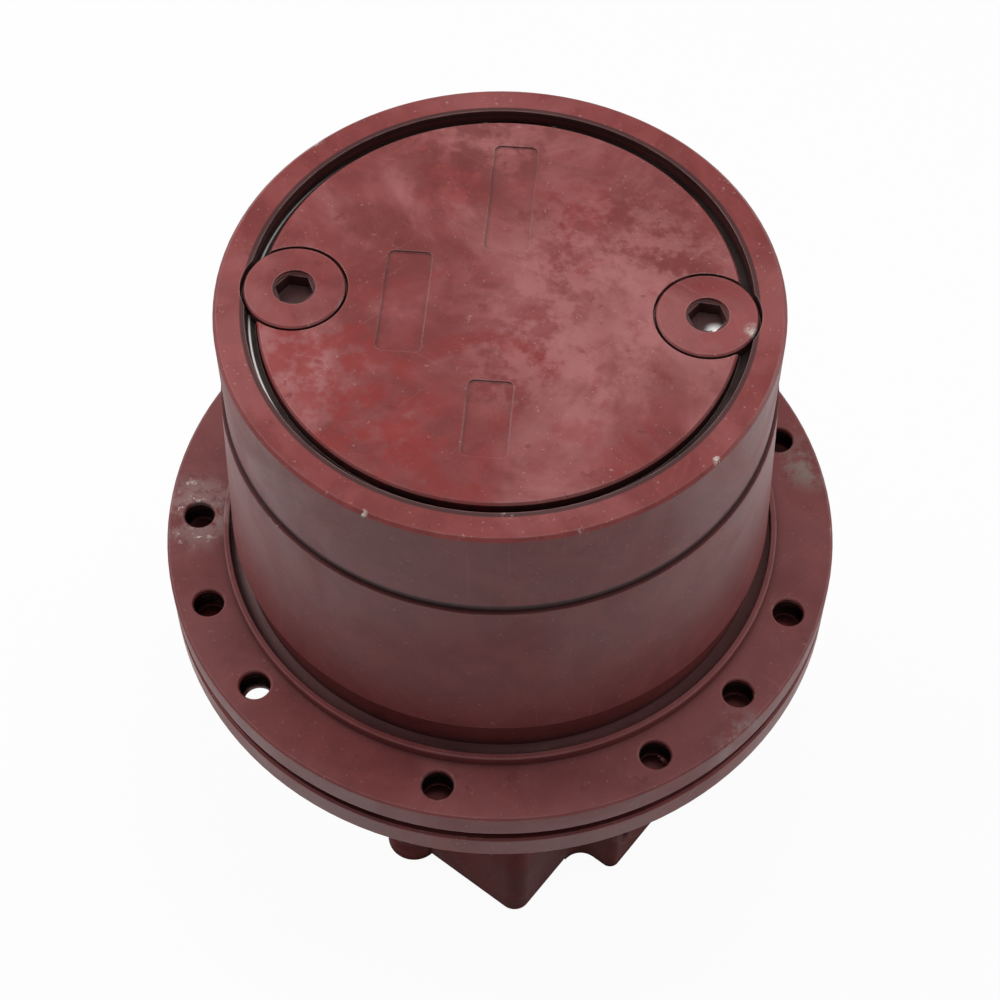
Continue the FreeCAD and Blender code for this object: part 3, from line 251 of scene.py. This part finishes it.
def paint(name, top_sheen=0.35, wet=0.0, gloss=0.34, peel=0.00006, chips=0.5, scuffs=(), smears=(),
          shade_and_grime=0.0, calm=None, sockets=(), scratches=0.0, shade_zones=(), specular=0.30):
    """Semi-gloss red-brown paint with orange peel and worn edges, painted sheen on up-facing surfaces, painted
    shade in the corners and in given rings, a painted highlight on the edges and painted glints in sockets.
    """
    t = Tree(name)
    clouds = t.noise(14.0, 5.0, 0.6, distortion=0.6)
    blotches = t.noise(34.0, 4.0, 0.65, distortion=1.2)
    fine = t.noise(420.0, 4.0, 0.6)
    colour = t.mix(t.step(blotches, 0.40, 0.62, 0.0, 0.55), RED, RED_DEEP)
    # Painted sheen: up-facing surfaces go paler in cloudy patches.
    facing = t.split(t.node("ShaderNodeNewGeometry").outputs["Normal"])[2]
    lying = t.step(facing, 0.55, 0.95)
    painted_sheen = t.math("MULTIPLY", t.step(clouds, 0.42, 0.66, 0.0, top_sheen), lying)
    colour = t.mix(painted_sheen, colour, SCRATCH_AND_SHEEN)
    if wet:
        patch = t.step(t.noise(26.0, 5.0, 0.6, distortion=0.5), 0.55, 0.62)
        colour = t.mix(t.math("MULTIPLY", patch, wet), colour, RED_WET)
    speck = t.step(t.noise(620.0, 2.0, 0.5), 0.68, 0.74, 0.0, 0.5)
    colour = t.mix(speck, colour, DUST_AND_HIGHLIGHT)
    spots = t.step(t.noise(120.0, 3.0, 0.6), 0.66, 0.70, 0.0, 0.5)
    colour = t.mix(spots, colour, RED_DEEP)
    if scratches:
        colour = t.mix(t.math("MULTIPLY", t.scratch_lines(), scratches), colour, SCRATCH_AND_SHEEN)
    # Painted shade in given rings about the axis.
    for inner, outer, low, high, tint, amount in shade_zones:
        colour = t.mix(t.math("MULTIPLY", t.ring_zone(inner, outer, low, high), amount), colour, tint)
    # Painted shade: corners and gaps go darker.
    painted_shade = t.hollows(0.010)
    colour = t.mix(t.math("MULTIPLY", painted_shade, 0.80), colour, SHADE_AND_GRIME)
    # Cloudy darkening over the whole part: painted shade, with some grime.
    if shade_and_grime:
        colour = t.mix(t.step(clouds, 0.25, 0.75, shade_and_grime, shade_and_grime - 0.18), colour, SHADE_AND_GRIME)
    edge = t.edges(0.0009)
    # Painted highlight: edges go paler in patches.
    edge_highlight = t.math("MULTIPLY", edge, t.step(t.noise(60.0, 3.0), 0.30, 0.62, 0.20, 0.65))
    colour = t.mix(edge_highlight, colour, DUST_AND_HIGHLIGHT)
    ragged = t.noise(210.0, 5.0, 0.7)
    chip = t.math("MULTIPLY", edge, t.step(t.math("ADD", ragged, t.noise(23.0, 2.0)), 1.20, 1.26))
    chip = t.math("MULTIPLY", chip, chips)
    height = t.split(t.place)[2]
    if calm:
        above = t.step(height, calm[1] - 0.001, calm[1])
        below = t.step(height, calm[0] + 0.001, calm[0])
        chip = t.math("MULTIPLY", chip, t.math("MAXIMUM", above, below))
    for centre, radius, amount in scuffs:
        spot = t.math("MULTIPLY", t.near(centre, radius), t.step(ragged, 0.60 - amount * 0.2, 0.66))
        chip = t.math("MAXIMUM", chip, spot)
    # Painted shade inside each plug's hex socket, and a painted glint at its lower right.
    for centre, radius in sockets:
        away = t.vector("DISTANCE", t.stretched(1.0, 1.0, 0.0), (centre[0], centre[1], 0.0), result="Value")
        inside = t.math("MULTIPLY", t.step(away, radius, radius * 0.94),
                        t.step(height, centre[2] - 0.0008, centre[2] - 0.0016))
        bevel_and_glint = (centre[0] + 0.0048 * cos(photo_turn - 0.75), centre[1] + 0.0048 * sin(photo_turn - 0.75),
                centre[2] - 0.0070)
        colour = t.mix(t.math("MULTIPLY", inside, 0.75), colour, SHADE_AND_GRIME)
        bright = t.math("MULTIPLY", t.near(bevel_and_glint, 0.0062), t.step(ragged, 0.34, 0.50))
        glint = t.math("MULTIPLY", inside, bright)
    colour = t.mix(chip, colour, BARE)
    # The painted glint goes on last.
    if sockets:
        colour = t.mix(glint, colour, GLINT)
    for centre, radius, tint, amount in smears:
        spot = t.math("MULTIPLY", t.near(centre, radius), t.step(t.noise(75.0, 5.0, 0.7), 0.42, 0.60))
        colour = t.mix(t.math("MULTIPLY", spot, amount), colour, tint)
    rough = t.blend(t.step(clouds, 0.35, 0.7), gloss - 0.05, gloss + 0.12)
    rough = t.math("ADD", rough, t.math("MULTIPLY", painted_shade, 0.25), clamp=True)
    rough = t.blend(chip, rough, 0.42)
    relief = t.math("ADD", t.math("MULTIPLY", fine, 0.4), t.noise(190.0, 2.0, 0.5))
    relief = t.math("SUBTRACT", relief, t.math("MULTIPLY", chip, 2.5))
    normal = t.bump(relief, peel, 0.9, t.rounded(0.0006))
    return t.finish(colour, rough, normal, t.math("MULTIPLY", chip, 0.6), coat=0.15 * specular,
                    coat_rough=0.22, specular=specular)


# ---------------------------------------------------------------- metals, rubber and friction lining
def metal(name, light, dark, rough=0.32, lathe=0.0, oil=0.0, painted_highlight=None):
    """Machined metal with turning marks round the axis, stains and a film of oil, painted shade in the hollows
    and, where given, a painted highlight.
    """
    t = Tree(name)
    x, y, z = t.split(t.place)
    radius = t.math("SQRT", t.math("ADD", t.math("MULTIPLY", x, x), t.math("MULTIPLY", y, y)))
    wander = t.math("ADD", t.math("MULTIPLY", radius, 2400.0), t.math("MULTIPLY", z, 2400.0))
    marks = t.math("SINE", t.math("ADD", wander, t.math("MULTIPLY", t.noise(30.0), 9.0)))
    grain = t.noise(900.0, 3.0, 0.6)
    stain = t.noise(26.0, 5.0, 0.62)
    colour = t.mix(t.step(stain, 0.38, 0.66), light, dark)
    # Painted highlight: a near-white patch on the given ring, towards one point.
    if painted_highlight:
        centre, reach, zone = painted_highlight
        colour = t.mix(t.math("MULTIPLY", t.near(centre, reach), t.ring_zone(*zone)), colour, GLINT)
    # Painted shade in the hollows.
    colour = t.mix(t.math("MULTIPLY", t.hollows(0.006), 0.6), colour, SHADE_AND_GRIME)
    colour = t.mix(t.math("MULTIPLY", t.edges(0.0007), 0.35), colour, BARE)
    rough_out = t.blend(t.step(stain, 0.3, 0.7), rough - 0.07, rough + 0.14 - oil)
    height = t.math("ADD", t.math("MULTIPLY", marks, lathe), grain)
    normal = t.bump(height, 0.00002, 0.8, t.rounded(0.0003))
    return t.finish(colour, rough_out, normal, 1.0)


def rubber(name):
    """Black sealing rubber with a matt moulded grain and a little bloom."""
    t = Tree(name)
    bloom = t.noise(40.0, 5.0, 0.65)
    colour = t.mix(t.step(bloom, 0.5, 0.75, 0.0, 0.35), srgb(26, 25, 25), srgb(74, 71, 68))
    normal = t.bump(t.noise(1300.0, 2.0), 0.00003, 0.7, t.rounded(0.0003))
    return t.finish(colour, t.blend(bloom, 0.62, 0.8), normal, specular=0.35)


def lining(name):
    """Pressed friction lining with short fibres."""
    t = Tree(name)
    fibres = t.noise(700.0, 4.0, 0.7, t.stretched(1.0, 0.25, 1.0))
    colour = t.mix(t.step(fibres, 0.4, 0.62), srgb(92, 66, 44), srgb(140, 110, 76))
    normal = t.bump(fibres, 0.00006, 0.8)
    return t.finish(colour, t.blend(fibres, 0.7, 0.9), normal, specular=0.3)


def dress(material, names):
    for name in names:
        slots = nodes[name].material_slots
        if not slots:
            nodes[name].data.materials.append(material)
        for slot in nodes[name].material_slots:
            slot.material = material


RIM = rim_height
FACE = sprocket_face
drum_scuffs = (
    (on_drum(132.0, 0.1165, RIM), 0.004, 0.8), (on_drum(-136.0, 0.1168, RIM), 0.003, 0.5),
    (on_drum(-117.0, 0.1170, RIM), 0.003, 0.5), (on_drum(-97.0, 0.1170, RIM), 0.0035, 0.5),
    (on_drum(-74.0, 0.1170, RIM), 0.0035, 0.5), (on_drum(-43.0, 0.1166, RIM), 0.0035, 0.4),
    (on_drum(-88.0, 0.1042, RIM), 0.004, 0.5), (on_drum(175.0, 0.148, FACE), 0.014, 0.15),
    (on_drum(183.0, 0.143, FACE), 0.013, 0.1), (on_drum(-160.0, 0.151, FACE), 0.006, 0.1),
)
drum_smears = (
    (on_drum(12.0, 0.150, FACE), 0.020, srgb(140, 142, 130), 0.45),
    (on_drum(-47.0, 0.1545, FACE - 0.006), 0.018, srgb(150, 140, 140), 0.5),
    (on_drum(178.0, 0.140, FACE), 0.028, srgb(170, 150, 146), 0.45),
)
# Dark and wet smears on the cover, and two broad pale spots of painted sheen near its middle.
cover_smears_and_sheen = (
    (on_drum(-165.0, 0.078, RIM), 0.052, RED_WET, 0.75), (on_drum(-128.0, 0.078, RIM), 0.044, RED_WET, 0.8),
    (on_drum(-100.0, 0.086, RIM), 0.028, RED_WET, 0.6), (on_drum(95.0, 0.080, RIM), 0.060, RED_DEEP, 0.7),
    (on_drum(-20.0, 0.040, RIM), 0.022, RED_DEEP, 0.55), (on_drum(-75.0, 0.052, RIM), 0.018, RED_DEEP, 0.6),
    (on_drum(150.0, 0.060, RIM), 0.030, RED_DEEP, 0.45), (on_drum(-30.0, 0.085, RIM), 0.024, RED_DEEP, 0.4),
    (on_drum(10.0, 0.045, RIM), 0.080, SCRATCH_AND_SHEEN, 0.6), (on_drum(-60.0, 0.040, RIM), 0.050, SCRATCH_AND_SHEEN, 0.4),
)
# Darker, greyer red: painted shade on the drum wall and the flange.
SHADED_RED = srgb(96, 54, 56)
GROOVE_TOP = FACE + 0.1152       # the machined band's lower edge
GROOVE = FACE + 0.1110
LIP = FACE + 0.0235
# Painted shade in rings: the drum wall and the flange take the darker red; the groove under the band, the
# trench at the foot and the inside of the rim go near-black.
drum_shade_zones = (
    (0.1100, 0.1230, FACE + 0.022, RIM - 0.0012, SHADED_RED, 0.35),
    (0.1255, 0.1560, FACE - 0.030, FACE + 0.006, SHADED_RED, 0.40),
    (0.1100, 0.1176, GROOVE, GROOVE_TOP, SHADE_AND_GRIME, 0.88),
    (0.1180, 0.1252, FACE - 0.002, LIP - 0.0010, SHADE_AND_GRIME, 0.50),
    (0.1030, 0.1060, RIM - 0.003, RIM + 0.001, SHADE_AND_GRIME, 0.80),
)


def plug_socket(name):
    low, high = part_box(name)
    return ((low[0] + high[0]) / 2, (low[1] + high[1]) / 2, high[2]), 0.0090


plug_sockets = [plug_socket(name) for name in ("oil_plug_left", "oil_plug_right")]
foot = (FACE + 0.0005, FACE + 0.030)
drum_paint = paint("drum_paint", top_sheen=0.30, gloss=0.44, specular=0.24, scuffs=drum_scuffs, smears=drum_smears,
                   chips=0.8, calm=foot, scratches=0.2, shade_zones=drum_shade_zones)
cover_paint = paint("cover_paint", top_sheen=0.70, wet=0.40, gloss=0.30, chips=0.25, smears=cover_smears_and_sheen,
                    scratches=0.25)
plug_scuffs = ((on_drum(-8.5, 0.1035, RIM), 0.0050, 1.2),)
plug_paint = paint("plug_paint", top_sheen=0.35, wet=0.3, gloss=0.32, chips=0.6, sockets=plug_sockets,
                   scratches=0.2, scuffs=plug_scuffs)
# The hub and the valve block are darkened overall as painted shade under the flanges, with some grime; the
# block most.
hub_paint = paint("hub_paint", top_sheen=0.25, gloss=0.38, chips=0.4, shade_and_grime=0.25, specular=0.18)
block_paint = paint("block_paint", top_sheen=0.2, wet=0.3, gloss=0.60, peel=0.00012, chips=0.3, shade_and_grime=0.66,
                    specular=0.03)

ground_steel = metal("ground_steel", srgb(178, 179, 182), srgb(128, 128, 132), 0.28, 0.9, 0.05)
gear_steel = metal("gear_steel", srgb(150, 148, 146), srgb(104, 102, 102), 0.34, 0.3, 0.08)
dark_steel = metal("dark_steel", srgb(92, 90, 90), srgb(58, 56, 58), 0.42, 0.2)
black_steel = metal("black_steel", srgb(62, 60, 60), srgb(40, 38, 39), 0.40, 0.4)
# Dark snap ring steel with a painted highlight on its left side.
ring_steel = metal("ring_steel", srgb(62, 54, 52), srgb(34, 28, 28), 0.46, 0.4,
                   painted_highlight=(on_drum(-160.0, 0.102, RIM - 0.01), 0.130, (0.1022, 0.1029, 0.0, RIM)))
bronze = metal("bronze", srgb(190, 146, 84), srgb(150, 108, 60), 0.33, 0.6)
seal_rubber = rubber("seal_rubber")
brake_lining = lining("brake_lining")

dress(drum_paint, ["drum_housing"])
dress(cover_paint, ["cover"])
dress(plug_paint, ["oil_plug_left", "oil_plug_right"])
dress(hub_paint, ["hub_spindle"])
dress(block_paint, ["valve_block", "spool_caps", "relief_valves"])
dress(ground_steel, [n for n in nodes if "race" in n or "seal_ring" in n or "shaft_bearing" in n]
      + ["drive_shaft", "pistons", "valve_plate", "counterbalance_spool", "bearing_spacer", "brake_piston",
         "second_planet_pins", "first_planet_pins", "block_dowels", "lower_bearing_rollers",
         "upper_bearing_rollers", "swash_plate"])
dress(gear_steel, [n for n in nodes if n.startswith(("first_planet_", "second_planet_"))
                   and n[-1].isdigit()] + ["first_sun", "second_sun", "cylinder_block", "retainer_plate"])
dress(dark_steel, ["first_carrier", "second_carrier", "bearing_nut", "brake_plates", "brake_springs",
                   "spool_springs"])
dress(black_steel, ["block_bolts", "gauge_plugs", "carrier_snap_ring"])
dress(ring_steel, ["cover_snap_ring"])
dress(bronze, ["thrust_pad", "first_planet_washers", "second_planet_washers"])
dress(seal_rubber, ["cover_seal", "plug_seals", "turning_seal_rubber", "fixed_seal_rubber", "shaft_seal",
                    "joint_seal"])
dress(brake_lining, ["brake_discs"])


# ---------------------------------------------------------------- small pieces
def mesh_piece(name, points, faces, material, body, smooth=True):
    data = bpy.data.meshes.new(name)
    data.from_pydata([tuple(p) for p in points], [], faces)
    data.update()
    for polygon in data.polygons:
        polygon.use_smooth = smooth
    data.materials.append(material)
    piece = bpy.data.objects.new(name, data)
    bpy.context.scene.collection.objects.link(piece)
    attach(piece, body)
    return piece


def thread_points(centre, axis, radius, pitch, depth, length, steps=28):
    """Ridge of an internal thread as rings of three points along a helix."""
    axis = Vector(axis).normalized()
    side = axis.orthogonal().normalized()
    other = axis.cross(side)
    turns = length / pitch - 1.0
    count = int(turns * steps)
    points = []
    for k in range(count + 1):
        angle = 2 * pi * k / steps
        along = pitch * k / steps - length / 2
        out = side * cos(angle) + other * sin(angle)
        fade = min(1.0, k / steps, (count - k) / steps)
        for offset, inset in ((0.06, 0.0), (0.5, depth * fade), (0.94, 0.0)):
            points.append(Vector(centre) + out * (radius + 0.00002 - inset) + axis * (along + offset * pitch))
    return points, count


def thread_mesh(name, holes, material, body):
    """All the threads of one set of equal holes as one piece."""
    points, faces = [], []
    for centre, axis, radius, pitch, depth, length in holes:
        ridge, count = thread_points(centre, axis, radius, pitch, depth, length)
        start = len(points)
        points += ridge
        for k in range(count):
            a = start + 3 * k
            faces.append((a, a + 1, a + 4, a + 3))
            faces.append((a + 1, a + 2, a + 5, a + 4))
    return mesh_piece(name, points, faces, material, body)


def pattern_centres(mount):
    """Centres of a bolt pattern's holes, at the corners of a rectangle from its X and Y spacings."""
    x, y, z = mount["pos_m"]
    dims = mount["dims"]
    across = dims.get("spacing_x_mm", 0.0) / 2000
    back = dims.get("spacing_y_mm", 0.0) / 2000
    return sorted({(x + a * across, y + b * back, z) for a in (-1, 1) for b in (-1, 1)})


# The threads are near-black: painted shade inside the sprocket holes.
shaded_thread_metal = metal("thread_steel", srgb(52, 34, 32), srgb(26, 16, 16), 0.5, 0.0)
UP = (0.0, 0.0, 1.0)
sprocket_holes = []
for mount in record["mounts"]:
    if mount["name"].startswith("sprocket_bolts"):
        sprocket_holes += pattern_centres(mount)
flange_depth = sprocket_face - sprocket_foot
middle = (sprocket_face + sprocket_foot) / 2
thread_mesh("sprocket_hole_threads",
            [((x, y, middle), UP, 0.007, 0.002, 0.0007, flange_depth - 0.002) for x, y, z in sprocket_holes],
            shaded_thread_metal, "drum")


# ---------------------------------------------------------------- forms of the castings
def turned_piece(name, profile, material, body, steps=192):
    """Surface turned about the axis, with a crisp edge at each point of its profile."""
    points, faces = [], []
    for (r0, z0), (r1, z1) in zip(profile, profile[1:]):
        start = len(points)
        for radius, height in ((r0, z0), (r1, z1)):
            points += [(radius * cos(2 * pi * k / steps), radius * sin(2 * pi * k / steps), height)
                       for k in range(steps)]
        for k in range(steps):
            after = (k + 1) % steps
            faces.append((start + k, start + steps + k, start + steps + after, start + after))
    return mesh_piece(name, points, faces, material, body)


def upright_piece(name, outline, low, high, material, body):
    """Prism on an outline in the valve block's own directions, counter-clockwise."""
    count = len(outline)
    points = [(*on_block(x, y), z) for z in (low, high) for x, y in outline]
    faces = [(k, (k + 1) % count, count + (k + 1) % count, count + k) for k in range(count)]
    faces += [tuple(reversed(range(count))), tuple(range(count, 2 * count))]
    return mesh_piece(name, points, faces, material, body, smooth=False)


port_a, port_b = (Vector(mounts[name]["pos_m"]) for name in ("port_a", "port_b"))
block_y = (port_b - port_a).normalized()        # the ports stand in a row along the block's own Y


def on_block(x, y):
    return (x * block_y.y + y * block_y.x, -x * block_y.x + y * block_y.y)


def arc(x, y, radius, start, end, steps=10):
    """Points of an arc from one angle to the other, in degrees."""
    turns = [radians(start + (end - start) * k / steps) for k in range(steps + 1)]
    return [(x + radius * cos(a), y + radius * sin(a)) for a in turns]


# The drum's cast body grows towards its lip, over an open turned groove at the foot.
turned_piece("drum_body_skin", [(0.1168, GROOVE), (0.1186, GROOVE), (0.1224, LIP), (0.1195, LIP - 0.002),
                                (0.1195, FACE + 0.0022)], drum_paint, "drum")
turned_piece("sprocket_pilot_ring", [(0.1251, FACE + 0.0010), (0.1251, FACE + 0.0050),
                                     (0.1256, FACE + 0.0055), (0.1275, FACE + 0.0055),
                                     (0.1280, FACE + 0.0050), (0.1280, FACE - 0.0002)],
             drum_paint, "drum")

block_side = 0.0760
boss_half = 0.0322
boss_reach = 0.0984
boss_corner = 0.005
boss_foot = 0.010
block_low, block_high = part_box("valve_block")
joint_face = mounts["frame_face"]["pos_m"][2] - 0.090
right_half = ([(boss_half + boss_foot, block_side - 0.001)]
              + arc(boss_half + boss_foot, block_side + boss_foot, boss_foot, 270.0, 180.0)
              + arc(boss_half - boss_corner, boss_reach - boss_corner, boss_corner, 0.0, 90.0))
boss = right_half + [(-x, y) for x, y in reversed(right_half)]
for name, side in (("spool_boss_back", 1), ("spool_boss_front", -1)):
    upright_piece(name, [(side * x, side * y) for x, y in boss], block_low[2] + 0.0002, joint_face - 0.007,
                  block_paint, "hub")
upright_piece("block_lug", arc(-0.0800, -0.0060, 0.0135, 0.0, 352.5, 47), block_low[2] + 0.0002,
              block_low[2] + 0.018, block_paint, "hub")


# ---------------------------------------------------------------- stage, light and camera
def stage_floor():
    low = cad_box[0][2]
    size = 4.0
    data = bpy.data.meshes.new("floor")
    data.from_pydata([(-size, -size, low), (size, -size, low), (size, size, low), (-size, size, low)],
                     [], [(0, 1, 2, 3)])
    floor = bpy.data.objects.new("floor", data)
    bpy.context.scene.collection.objects.link(floor)
    t = Tree("floor_white")
    light = t.node("ShaderNodeLightPath")
    seen = t.math("MAXIMUM", light.outputs["Is Camera Ray"], light.outputs["Is Glossy Ray"])
    seen = t.math("MAXIMUM", seen, light.outputs["Is Transmission Ray"])
    matt = t.node("ShaderNodeBsdfDiffuse")
    matt.inputs["Color"].default_value = (0.80, 0.80, 0.80, 1.0)
    white = t.node("ShaderNodeEmission")
    mixed = t.node("ShaderNodeMixShader")
    t.feed(mixed.inputs[0], t.math("MULTIPLY", seen, 0.95))
    t.tree.links.new(matt.outputs[0], mixed.inputs[1])
    t.tree.links.new(white.outputs[0], mixed.inputs[2])
    t.tree.links.new(mixed.outputs[0], t.out.inputs["Surface"])
    floor.data.materials.append(t.material)


def white_world():
    world = bpy.data.worlds.new("studio")
    bpy.context.scene.world = world
    world.use_nodes = True
    tree = world.node_tree
    tree.nodes.clear()
    light = tree.nodes.new("ShaderNodeLightPath")
    first = tree.nodes.new("ShaderNodeMath")
    first.operation = "MAXIMUM"
    second = tree.nodes.new("ShaderNodeMath")
    second.operation = "MAXIMUM"
    tree.links.new(light.outputs["Is Camera Ray"], first.inputs[0])
    tree.links.new(light.outputs["Is Glossy Ray"], first.inputs[1])
    tree.links.new(first.outputs[0], second.inputs[0])
    tree.links.new(light.outputs["Is Transmission Ray"], second.inputs[1])
    ambient = tree.nodes.new("ShaderNodeBackground")
    ambient.inputs["Color"].default_value = (0.92, 0.95, 1.0, 1.0)
    ambient.inputs["Strength"].default_value = 0.34
    white = tree.nodes.new("ShaderNodeBackground")
    white.inputs["Color"].default_value = (1.0, 1.0, 1.0, 1.0)
    white.inputs["Strength"].default_value = 1.0
    mixed = tree.nodes.new("ShaderNodeMixShader")
    tree.links.new(second.outputs[0], mixed.inputs[0])
    tree.links.new(ambient.outputs[0], mixed.inputs[1])
    tree.links.new(white.outputs[0], mixed.inputs[2])
    out = tree.nodes.new("ShaderNodeOutputWorld")
    tree.links.new(mixed.outputs[0], out.inputs["Surface"])


def softbox(name, place, size, power, target=(0.0, 0.0, 0.08)):
    lamp = bpy.data.lights.new(name, "AREA")
    lamp.shape = "RECTANGLE"
    lamp.size, lamp.size_y = size
    lamp.energy = power
    piece = bpy.data.objects.new(name, lamp)
    piece.location = place
    aim = Vector(target) - Vector(place)
    piece.rotation_euler = aim.to_track_quat("-Z", "Y").to_euler()
    bpy.context.scene.collection.objects.link(piece)


def from_camera(x, y, z):
    """A place given with the camera's side as -Y."""
    return (x * cos(photo_turn) - y * sin(photo_turn), x * sin(photo_turn) + y * cos(photo_turn), z)


def camera():
    lens = bpy.data.cameras.new("camera")
    lens.lens = 83.6
    lens.sensor_width = 36.0
    lens.clip_end = 20.0
    piece = bpy.data.objects.new("camera", lens)
    piece.location = from_camera(0.0, -0.5928, rim_height + 0.7409)
    piece.rotation_euler = (radians(33.73), 0.0, photo_turn)
    bpy.context.scene.collection.objects.link(piece)
    bpy.context.scene.camera = piece


stage_floor()
white_world()
softbox("top_light", from_camera(0.15, 0.02, 1.45), (0.6, 0.5), 8.0)
softbox("left_light", from_camera(-1.00, 0.50, 0.95), (0.7, 0.8), 10.0)
softbox("right_light", from_camera(1.20, 0.25, 0.40), (0.5, 0.8), 4.0)
camera()

scene = bpy.context.scene
scene.view_settings.view_transform = "Standard"
